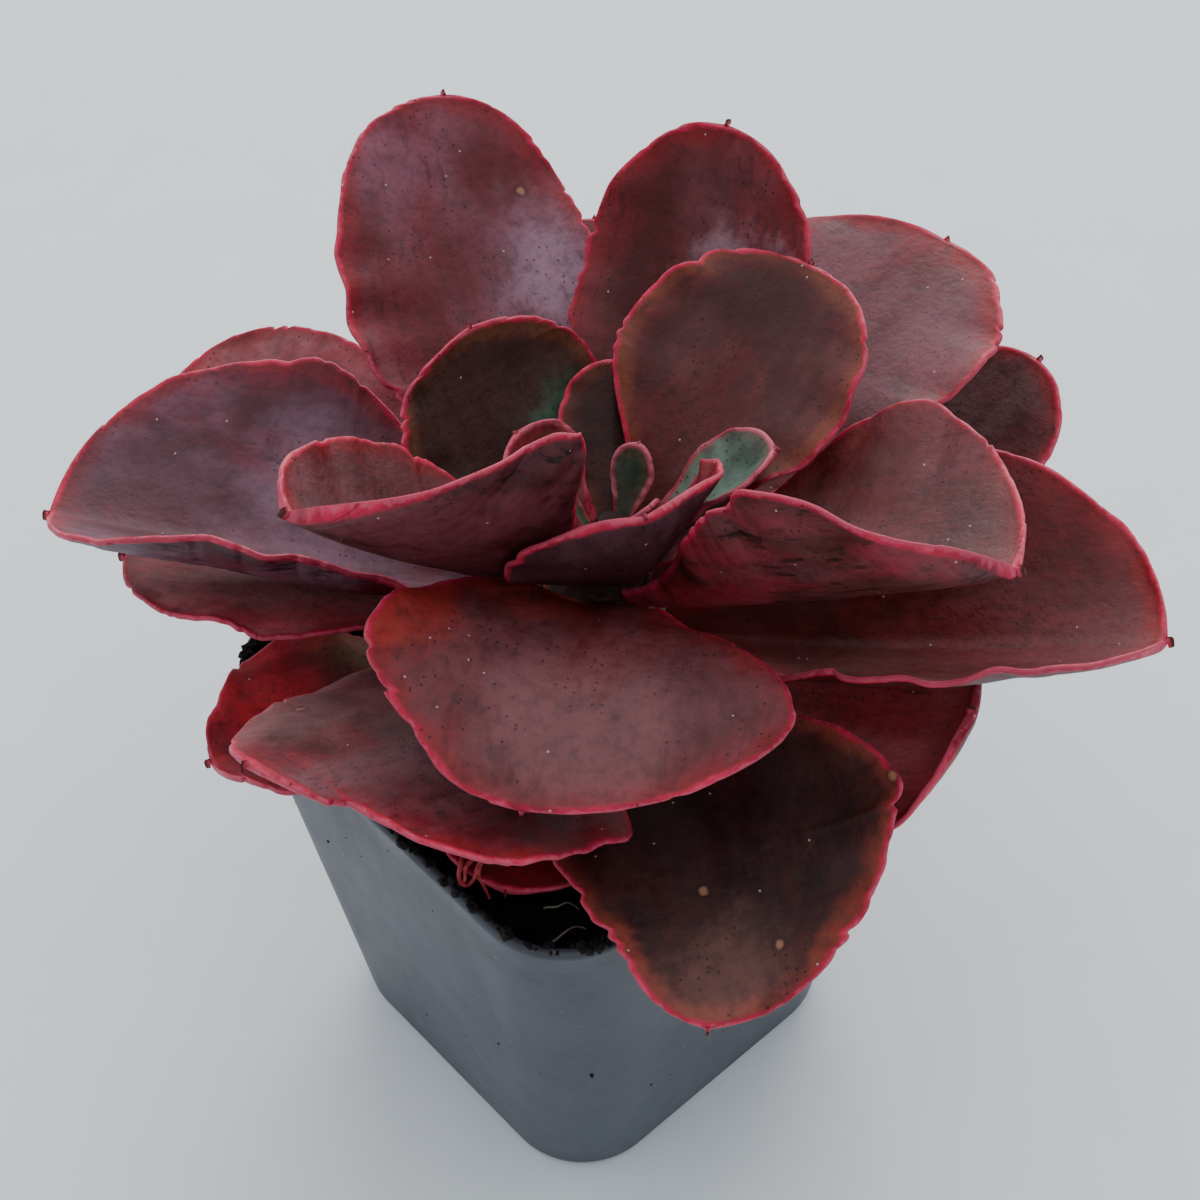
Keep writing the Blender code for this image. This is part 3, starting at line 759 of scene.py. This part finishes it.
@dataclass
class Look:
    """How a leaf is coloured, as paint codes and amounts from 0 to 1. A patch is a soft spot of colour:
    (across, along, radius, paint, amount), in millimetres on the flat leaf; some patches are painted
    reflection and one is painted shade, as marked where they are given."""

    deep: str = "3a0c10"
    flush: str = "6e1820"
    # bloom_and_sheen and its amount: a mauve wax bloom, which also stands for painted reflection of the
    # bright sky.
    bloom_and_sheen: str = "6e3a44"
    bloom_and_sheen_amount: float = 0.4
    glow: str = "8c1c1e"
    glow_amount: float = 0.6
    margin: str = "c62446"
    below: str = "5c1018"
    streaks: float = 0.3
    pits: float = 0.2
    gloss: float = 0.48
    patches: tuple = ()


def leaf_skin(leaf, look):
    """Waxy flesh: clouded wine red under a mauve bloom that is partly wax and partly painted reflection of
    the bright sky, flushed towards a crimson margin with a painted glow inside it and a painted highlight
    along its edge, pitted.
    """
    material, tree, shader = new_skin(leaf.name + " skin", {"Specular IOR Level": 0.24})
    flat = tree.node("ShaderNodeAttribute", {"attribute_name": "blade"}, {}).other("Vector")
    below = tree.node("ShaderNodeAttribute", {"attribute_name": "under"}, {}).other("Fac")
    across, along, edge = flat.parts()
    place = tree.node("ShaderNodeCombineXYZ", {}, {0: across + below * 90, 1: along + leaf.seed * 71})
    drift, veil, _ = tree.noise(place * (1.9, 1, 1), 0.045, 3, 0.58, "2D").other("Color").parts()
    mottle = tree.noise(place, 0.17, 4, 0.66, "2D")
    grain = tree.noise(place, 0.62, 3, 0.65, "2D")
    dashes = tree.noise(place * (4.5, 1, 1), 0.2, 2, 0.6, "2D")
    ragged = edge + (mottle - 0.5) * 2.6 + (drift - 0.5) * 6.0
    flushed = ragged.rise(7.0, 0.5) * 0.6 + drift.rise(0.42, 0.62) * 0.5
    body = tree.mix(flushed, paint(look.deep), paint(look.flush))
    # Mauve bloom: partly wax, partly painted reflection of the bright sky.
    body = tree.mix((veil + (mottle - 0.5) * 0.2).rise(0.34, 0.68) * look.bloom_and_sheen_amount * 1.2, body, paint(look.bloom_and_sheen))
    # Red band inside the margin: partly the leaf's own flush, partly painted glow of light shining through
    # the thin edge.
    body = tree.mix(ragged.rise(3.2, 0.6) * look.glow_amount, body, paint(look.glow))
    # Patches: some are the leaf's own tones, some are painted reflection, and one is painted shade.
    for x, y, radius, code, amount in look.patches:
        off = ((across - x) ** 2 + (along - y) ** 2) ** 0.5 + (mottle + drift - 1) * radius
        body = tree.mix(off.rise(radius * 1.1, radius * 0.2) * amount, body, paint(code))
    under = tree.mix(drift.rise(0.40, 0.62), paint(look.below), paint(look.deep))
    # The underside's mauve bloom, made with the same paint, which partly stands for painted reflection.
    under = tree.mix((veil + (mottle - 0.5) * 0.3).rise(0.38, 0.68) * look.bloom_and_sheen_amount, under, paint(look.bloom_and_sheen))
    body = tree.mix(below, body, under)
    marks = dashes.rise(0.54, 0.72) * (look.streaks + below * 0.6) * drift.rise(0.40, 0.60)
    body = tree.mix(marks + mottle.rise(0.50, 0.74) * 0.30, body, paint("1c080b"))
    body = tree.mix(grain.rise(0.58, 0.30) * 0.24, body, paint("140508"))
    rim = edge + (mottle - 0.5) * 1.0 + (grain - 0.5) * 0.6
    crimson = tree.mix((veil + mottle).rise(0.75, 1.25), paint(look.margin), paint("9a1230"))
    # Painted highlight: a pale pink line along the outermost edge of the margin.
    crimson = tree.mix((edge + (grain - 0.5) * 1.2).rise(0.35, 0.0) * 0.3, crimson, paint("e0788c"))
    body = tree.mix(rim.rise(0.95, 0.25), body, crimson)
    pits = tree.cells(place, 0.9, "2D")
    drawn, pale, _ = pits.other("Color").parts()
    pitted = (drawn < look.pits) * (veil + drift + (mottle - 0.5) * 0.5).rise(0.96, 1.06)
    body = tree.mix(pits.rise(0.21, 0.09) * pitted * 0.65, body, paint("14070a"))
    body = tree.mix(pits.rise(0.16, 0.08) * (pale > 0.993) * 0.6, body, paint("d0bdb6"))
    scars = tree.cells(place, 0.12, "2D")
    kind = scars.other("Color").parts()[0] < 0.05
    body = tree.mix(scars.rise(0.17, 0.05) * kind * 0.55, body, paint("22090c"))
    healed = (scars + (grain - 0.5) * 0.12).rise(0.085, 0.03) * kind
    body = tree.mix(healed * 0.7, body, paint("a8785c"))
    body = tree.mix((along - leaf.length / MM).rise(0.1, 0.7), body, paint("4a1614"))
    tree.fill(shader.inputs["Base Color"], body)
    tree.fill(shader.inputs["Roughness"], look.gloss + (grain - 0.5) * 0.3 + veil.rise(0.35, 0.7) * 0.08)
    tree.emboss(shader, 0.4, 0.0003, grain)
    return material


def grow_leaf(leaf, look):
    """Makes one leaf's blade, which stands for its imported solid."""
    guide, rows = midrib_guide(leaf)
    flattest = 0.1  # degrees; no half is quite flat
    blade = grown(leaf.name + "_blade", guide, blade_tree, {
        "Rows": rows, "Loop points": 61 if leaf.is_small() else 81,
        "Length": leaf.length, "Thickness": leaf.thick,
        "Left lift": math.radians(leaf.left or flattest), "Right lift": math.radians(leaf.right or flattest),
        "Left lap": float(leaf.laps[0]), "Right lap": float(leaf.laps[1]),
        "Bead": leaf.growth() * BEAD_HIGH, "Relief": RELIEF_HIGH * leaf.growth(),
        "Chance": leaf.seed * 7.3, "Skin": leaf_skin(leaf, look)})
    body = bmesh.new()
    body.from_mesh(blade.data)
    bmesh.ops.recalc_face_normals(body, faces=body.faces)
    body.to_mesh(blade.data)
    body.free()
    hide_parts(leaf.name)
    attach(blade, "root")


LOWEST = [
    (Leaf("leaf_old_front", -58, 0.0688, 0.0300, 0.0240, (4, 4), left=10, right=20, wave=0.001, seed=21),
     Look("6a1018", "8c1826", "7c3440", 0.4)),
    (Leaf("leaf_low_left", -111, 0.0708, 0.0425, 0.0330, (3, 2), roll=-6, left=29, right=-2, tip_fold=1.8,
          wave=0.0012, standoff=0.0003, nicks=((-1, 0.93, 0.0016, 0.09),), seed=1),
     Look("4a0c12", "8a1420", "6c3038", 0.4, glow="b02834", glow_amount=0.8,
          patches=((-6, 32, 8, "c82430", 0.7), (-12, 19, 6, "8c7040", 0.5)))),
    (Leaf("leaf_low_back", 138, 0.0716, 0.0680, 0.0380, (8, 12), seed=3),
     Look("3c1014", "64141c", "6a3a42", 0.5)),
    (Leaf("leaf_low_right", 22, 0.0718, 0.0460, 0.0340, (2, 0), curl=100, left=24, right=4, widest=0.67,
          blunt=2.6, seed=2),
     Look("a83034", "c03c42", "a8505a", 0.35)),
    (Leaf("leaf_far_left", 189, 0.0724, 0.0695, 0.0385, (5, 0), sweep=5, roll=-4, left=4, right=36,
          widest=0.7, seed=5),
     Look("803034", "a0383e", "a06c70", 0.6)),
    (Leaf("leaf_low_back_right", 75, 0.0741, 0.0625, 0.0310, (-1, 32), sweep=6, left=-12, right=6, seed=4),
     Look("4a2022", "602428", "6a4648", 0.5)),
    (Leaf("leaf_under_left", -145, 0.0754, 0.0540, 0.0380, (11, 4), sweep=14, roll=7, left=27, right=18,
          seed=7),
     # Painted light: paler, brighter paints than the leaves around it, standing in for light that reaches it
     # under leaf_wide_left.
     Look("c85a60", "d04858", "d09094", 0.5)),
]
for leaf, look in LOWEST:
    grow_leaf(leaf, look)


# Dry things: curled strands of dead leaf, brittle and red, hang inside the front rim from the leaf that they
# tore away from, and two pale hair roots lie on the soil. Each is a thin thread that tapers to its end.


def strand(name, path, radius, material):
    """A thin thread through points in millimetres, thinning towards its end."""
    curve = bpy.data.curves.new(name + " line", "CURVE")
    curve.dimensions = "3D"
    curve.bevel_depth = radius
    curve.bevel_resolution = 2
    curve.resolution_u = 8
    curve.use_fill_caps = True
    line = curve.splines.new("NURBS")
    line.points.add(len(path) - 1)
    for step, (point, spot) in enumerate(zip(line.points, path)):
        point.co = (*[MM * value for value in spot], 1)
        point.radius = 1.2 - 0.7 * step / len(path)
    line.order_u = 4
    line.use_endpoint_u = True
    thread = bpy.data.objects.new(name + " guide", curve)
    bpy.context.scene.collection.objects.link(thread)
    thread = plain_mesh(thread, name)
    thread.data.materials.clear()
    thread.data.materials.append(material)
    thread.data.shade_smooth()
    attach(thread, "root")


def dry_skin(name, first, second):
    """Dull dry tissue, mottled between two paints."""
    material, tree, shader = new_skin(name, {"Specular IOR Level": 0.3, "Roughness": 0.6})
    streak = tree.noise(tree.piece_place(), 900, 3, 0.6)
    tree.fill(shader.inputs["Base Color"], tree.mix(streak.rise(0.35, 0.65), paint(first), paint(second)))
    tree.emboss(shader, 0.4, 0.0002, streak)
    return material


STRAND_RADIUS = 0.28 * MM
ROOT_RADIUS = 0.13 * MM
dead_leaf = dry_skin("dead leaf", "8a1c24", "c04a4c")
DEAD_STRANDS = [
    ((13.6, -30.5, 72.6), (14.9, -32.4, 72.4), (15.6, -33.4, 71.8), (16.1, -33.7, 71.0), (16.7, -33.5, 70.4),
     (16.8, -32.8, 70.4), (16.7, -32.0, 70.8), (17.1, -31.4, 71.8)),
    ((16.2, -29.0, 73.0), (16.6, -30.9, 72.6), (17.1, -31.6, 71.6), (17.5, -31.6, 70.6), (18.3, -31.6, 69.8),
     (19.3, -31.8, 69.0)),
    ((15.4, -30.4, 72.4), (15.5, -32.1, 72.3), (15.9, -32.8, 71.8), (16.5, -33.0, 71.2), (16.4, -33.6, 70.6)),
    ((16.4, -29.2, 72.8), (16.4, -31.2, 72.4), (16.9, -31.7, 71.4), (17.1, -32.5, 70.8), (16.9, -33.2, 70.4)),
]
for number, path in enumerate(DEAD_STRANDS):
    strand(f"dead_strand_{number}", path, STRAND_RADIUS, dead_leaf)
dry_root = dry_skin("dry root", "a08c78", "d8ccba")
ROOTS = [
    ((20.2, -24.4, 60.6), (21.2, -24.8, 62.6), (22.6, -23.8, 62.2), (22.0, -22.2, 62.6), (23.4, -21.4, 60.8)),
    ((24.6, -26.8, 60.6), (25.6, -25.2, 62.4), (24.8, -23.8, 62.0), (26.2, -22.8, 61.0)),
]
for number, path in enumerate(ROOTS):
    strand(f"dry_root_{number}", path, ROOT_RADIUS, dry_root)


# The two drooping leaves: full-grown and heavy with water, they hang from the stem out over the pot's front
# and right corner. One is almost black brown with a tan tip, the other wine red under a grey bloom that is
# partly wax and partly painted sheen.
DROOPING = [
    (Leaf("leaf_droop_right", -19, 0.0744, 0.0505, 0.0420, (9, -18), sweep=-26, roll=-9, left=33, right=3,
          left_width=1.22, right_width=0.81, widest=0.57, blunt=1.0, wave=0.0006, seed=6),
     Look("241010", "4c1a14", "54302e", 0.35, glow="9c4030",
          patches=((2, 46, 10, "a06c60", 0.3), (-8, 24, 10, "160808", 0.4)))),
    (Leaf("leaf_droop_left", -86, 0.0779, 0.0490, 0.0480, (16, 26), sweep=-5, roll=17, left=-12,
          right=-10, left_width=1.27, right_width=0.62, widest=0.35, blunt=2.6, foot=0.0034, wave=0.0014,
          waves=1.6, standoff=0.0006,
          nicks=((1, 0.91, 0.0055, 0.05), (1, 0.72, -0.0018, 0.22), (1, 0.42, 0.0018, 0.18)),
          laps=(0, -0.002), seed=8),
     Look("5c1e24", "8c242e", "84565c", 0.6,
          patches=((10, 18, 10, "30090c", 0.5), (-6, 38, 9, "94706f", 0.45)))),
]
for leaf, look in DROOPING:
    grow_leaf(leaf, look)


# The wide leaves: the widest spread of the rosette, to the left and the right, each folded up along its
# midrib, and the broad leaf that arches down between them to the front.
WIDE = [
    (Leaf("leaf_wide_right", 34, 0.0768, 0.0630, 0.0475, (3, 24), sweep=-2, roll=-18, left=64, right=43,
          left_width=1.12, right_width=0.96, widest=0.54, blunt=2.2, nicks=((-1, 0.66, 0.0012, 0.05),),
          seed=9),
     Look("501614", "7a2022", "74383c", 0.45)),
    (Leaf("leaf_wide_left", -141, 0.0801, 0.0635, 0.0470, (3, 14), sweep=6, roll=11, left=64, right=39,
          right_width=1.21, widest=0.55, blunt=2.6, foot_fold=0.6, standoff=0.0008,
          nicks=((1, 0.88, 0.0015, 0.05),), seed=11),
     # Painted reflection: the pale mauve patch at 32 mm along stands for the bright sky mirrored in the wax.
     Look("4c1c28", "742434", "7c5464", 0.65,
          patches=((-8, 54, 12, "4e2630", 0.7), (-12, 32, 11, "8c6c7c", 0.5)))),
    (Leaf("leaf_front", -56, 0.0844, 0.0465, 0.0460, (58, -27), sweep=6, roll=-14, left=10, right=11,
          left_width=1.23, right_width=0.92, widest=0.65, blunt=1.5, foot=0.003, wave=0.0006,
          standoff=0.0003, nicks=((-1, 0.86, 0.0022, 0.16),), seed=15),
     # Painted reflection: the pale mauve patch at 36 mm along. Painted shade: the dark patch at the foot,
     # where the heart shades it.
     Look("441619", "7c262b", "7c484c", 0.5, streaks=0.25,
          patches=((-5, 13, 9, "b8402e", 0.5), (-17, 26, 8, "b03830", 0.6), (4, 36, 15, "8c5a5c", 0.5),
                   (6, 6, 8, "3c2426", 0.6)))),
]
for leaf, look in WIDE:
    grow_leaf(leaf, look)


# The back leaves: broad, open, spoon-shaped leaves that rise from the stem behind the heart and catch the
# light, dark wine under a mauve bloom of wax that is rubbed off in places. The bloom is partly painted
# reflection of the bright sky, and their pale mauve patches are painted reflections.
BACK = [
    (Leaf("leaf_back_right", 96, 0.0797, 0.0630, 0.0425, (25, 12), sweep=-6, roll=-4, left=0, right=23,
          left_width=1.2, right_width=1.07, widest=0.67, blunt=1.9, wave=0.0006,
          nicks=((1, 0.72, 0.0012, 0.04), (1, 0.86, 0.0014, 0.04)), seed=10),
     Look("581c22", "80242c", "7c4c56", 0.5)),
    (Leaf("leaf_back_left", 163, 0.0810, 0.0660, 0.0395, (25, 39), sweep=-14, roll=17, left=22, right=2,
          left_width=1.09, right_width=0.87, widest=0.55, blunt=2.3, wave=0.0007, standoff=0.0003,
          seed=12),
     # Painted reflection: the two pale mauve patches stand for the bright sky mirrored in the wax; the dark
     # patch is bloom rubbed off.
     Look("5c1a1e", "7e2430", "84505c", 0.5,
          patches=((-11, 37, 12, "a8889a", 0.55), (9, 57, 9, "8a5a6c", 0.5), (3, 42, 8, "5c1a1e", 0.6)))),
    (Leaf("leaf_back", 120, 0.0828, 0.0565, 0.0335, (25, 62), sweep=-6, roll=-12, left=7, right=6,
          left_width=0.95, right_width=1.01, widest=0.56, blunt=2.6, wave=0.0007, seed=13),
     # Painted reflection: the pale mauve patch stands for the bright sky mirrored in the wax.
     Look("4e1414", "7a1e22", "80464c", 0.35,
          patches=((-9, 36, 11, "b48a98", 0.8),))),
]
for leaf, look in BACK:
    grow_leaf(leaf, look)


# The boat-folded leaves: two fleshy leaves either side of the heart whose blades fold up steeply like a
# hull, so that one half is seen from outside, streaked with dark creases.
BOATS = [
    (Leaf("leaf_boat_right", 15, 0.0845, 0.0520, 0.0440, (28, 29), sweep=13, roll=-18, left=37, right=86,
          left_width=1.27, right_width=1.15, widest=0.64, blunt=1.4, nicks=((-1, 0.52, 0.0016, 0.05),),
          seed=14),
     Look("52201c", "70262a", "74444a", 0.45, below="8c2430", glow="8c3a34",
          patches=((8, 43, 10, "4c2829", 0.6),))),
    (Leaf("leaf_boat_left", -105, 0.0877, 0.0445, 0.0415, (25, 51), sweep=3, roll=5, left=99, right=33,
          left_width=1.4, right_width=0.78, widest=0.54, blunt=2.3, foot_fold=0.6, standoff=0.0005,
          nicks=((1, 0.7, 0.0016, 0.06),), seed=16),
     Look("481418", "661c24", "6e3c42", 0.4, below="6c3238")),
]
for leaf, look in BOATS:
    grow_leaf(leaf, look)


# The inner leaves: half-grown and more upright, they stand round the heart on the stem's upper part, still
# olive green at the foot and dark wine above.
INNER = [
    (Leaf("leaf_inner_left", 176, 0.0847, 0.0315, 0.0300, (23, 70), sweep=-1, roll=1, left=3, right=9,
          left_width=1.03, right_width=1.02, widest=0.55, blunt=2.4, foot=0.003, wave=0.0006, seed=17),
     Look("341c18", "4c2420", "54382e", 0.4, glow="7a4428",
          patches=((-9, 12, 9, "3c7058", 0.9), (4, 8, 7, "363c28", 0.5)))),
    (Leaf("leaf_inner_back", 135, 0.0871, 0.0220, 0.0120, (33, 44), roll=-5, left=4, right=-45,
          left_width=1.2, right_width=0.55, foot=0.0022, wave=0.0005, thick=0.0017, seed=22),
     Look("301812", "481c16", "4a3028", 0.35, glow="6a3420")),
    (Leaf("leaf_inner_right", 89, 0.0881, 0.0405, 0.0295, (45, 29), sweep=10, roll=-8, left=22, right=6,
          left_width=1.12, right_width=1.16, widest=0.54, blunt=2.9, foot=0.0028, wave=0.0009,
          nicks=((1, 0.84, 0.0016, 0.06),), seed=18),
     Look("46181a", "66201f", "70403e", 0.45, glow="84442c", pits=0.4,
          patches=((-9, 8, 8, "46543c", 0.6), (3, 34, 9, "34100f", 0.7)))),
]
for leaf, look in INNER:
    grow_leaf(leaf, look)


# The heart: the youngest leaves, still cupped and partly grey green, and three buds of leaves that have just
# opened at the stem's tip.
HEART = [
    (Leaf("leaf_cup", -27, 0.0888, 0.0265, 0.0240, (33, 86), sweep=-4, left=71, right=10, left_width=1.31,
          right_width=1.29, widest=0.6, blunt=2.3, foot=0.0022, thick=0.0015, standoff=0.0001, seed=19),
     Look("44202a", "642028", "6c4850", 0.45, below="4c262c")),
    (Leaf("leaf_young_left", -165, 0.0893, 0.0155, 0.0150, (44, 62), foot=0.0022, wave=0.0005,
          thick=0.0015, seed=23),
     Look("381c18", "5c2422", "6a4440", 0.5, margin="c86474")),
    (Leaf("leaf_young_right", 44, 0.0900, 0.0225, 0.0150, (34, 53), sweep=8, roll=-9, left=42, right=43,
          left_width=0.97, right_width=0.78, widest=0.62, blunt=2.5, foot=0.002, wave=0.0004,
          thick=0.0014, seed=20),
     Look("34584a", "5a5c4e", "74887a", 0.7, glow="6c5a48", margin="b8606a", below="64705e")),
    (Leaf("bud_leaf_right", 110, 0.0908, 0.0100, 0.0060, (58, 70), foot=0.0013, wave=0.0002, thick=0.0012,
          seed=24),
     Look("24402c", "48463c", "5c7060", 0.6, glow="5c4a3c", margin="b06068")),
    (Leaf("bud_leaf_left", -140, 0.0915, 0.0125, 0.0045, (60, 70), left=40, right=40, foot=0.0012,
          wave=0.0002, thick=0.0012, standoff=0.0002, seed=25),
     Look("2c4c34", "48563c", "5c7060", 0.6, glow="6c5a3c", margin="b87a68")),
    (Leaf("bud_leaf_front", 5, 0.0918, 0.0090, 0.0055, (56, 78), foot=0.0011, wave=0.0002, thick=0.0011,
          standoff=0.0001, seed=26),
     Look("24402c", "48463c", "5c7060", 0.6, glow="5c4a3c", margin="b06068")),
]
for leaf, look in HEART:
    grow_leaf(leaf, look)


# The table, the light and the camera: a pale matt floor, soft window light from the left and above, and the
# photograph's view from above the pot's front corner.
floor_mesh = bmesh.new()
bmesh.ops.create_grid(floor_mesh, x_segments=1, y_segments=1, size=3)
material, tree, shader = new_skin("pale table", {"Roughness": 0.9, "Specular IOR Level": 0.2})
mottle = tree.noise(tree.piece_place(), 60, 4, 0.6)
tree.fill(shader.inputs["Base Color"], tree.mix(mottle, paint("e3e8ea"), paint("ebeff1")))
floor = finish_mesh("table", floor_mesh, material)

world = bpy.data.worlds.new("room")
bpy.context.scene.world = world
world.use_nodes = True
sky = Tree(world.node_tree)
toward = sky.node("ShaderNodeTexCoord", {}, {}).other("Generated")
brightest = (-0.45, 0.35, 0.82)
lit = sky.node("ShaderNodeVectorMath", {"operation": "DOT_PRODUCT"}, {0: toward, 1: brightest}).other("Value")
room = world.node_tree.nodes["Background"]
sky.fill(room.inputs["Color"], sky.mix(lit.rise(-0.2, 1.0), paint("c8d2dc"), paint("f2f6fc")))
sky.fill(room.inputs["Strength"], 0.78 + lit.rise(-0.2, 1.0) * 0.88)

WINDOW_PLACE = Vector((-0.85, 1.05, 0.66))
PLANT_MIDDLE = Vector((0, 0, 0.06))
glass = bpy.data.lights.new("window", "AREA")
glass.shape = "DISK"
glass.size = 1.4
glass.energy = 15.0
glass.color = paint("fdfbf7")[:3]
window = bpy.data.objects.new("window", glass)
bpy.context.scene.collection.objects.link(window)
window.location = WINDOW_PLACE
window.rotation_euler = (PLANT_MIDDLE - WINDOW_PLACE).to_track_quat("-Z", "Y").to_euler()

DISTANCE = 270 * MM
AZIMUTH, ELEVATION, ROLL = math.radians(48.9), math.radians(47.3), math.radians(-1.49)
AIM = Vector((1.83, 2.10, 82.7)) * MM
back = Vector((math.sin(AZIMUTH) * math.cos(ELEVATION), -math.cos(AZIMUTH) * math.cos(ELEVATION),
               math.sin(ELEVATION)))
level = Vector((math.cos(AZIMUTH), math.sin(AZIMUTH), 0))
above = back.cross(level)
right = level * math.cos(ROLL) + above * math.sin(ROLL)
upright = above * math.cos(ROLL) - level * math.sin(ROLL)
lens = bpy.data.cameras.new("camera")
lens.lens = 64.3
lens.sensor_width = 36
camera = bpy.data.objects.new("camera", lens)
bpy.context.scene.collection.objects.link(camera)
camera.matrix_world = Matrix((right, upright, back)).transposed().to_4x4()
camera.location = AIM + back * DISTANCE
bpy.context.scene.camera = camera
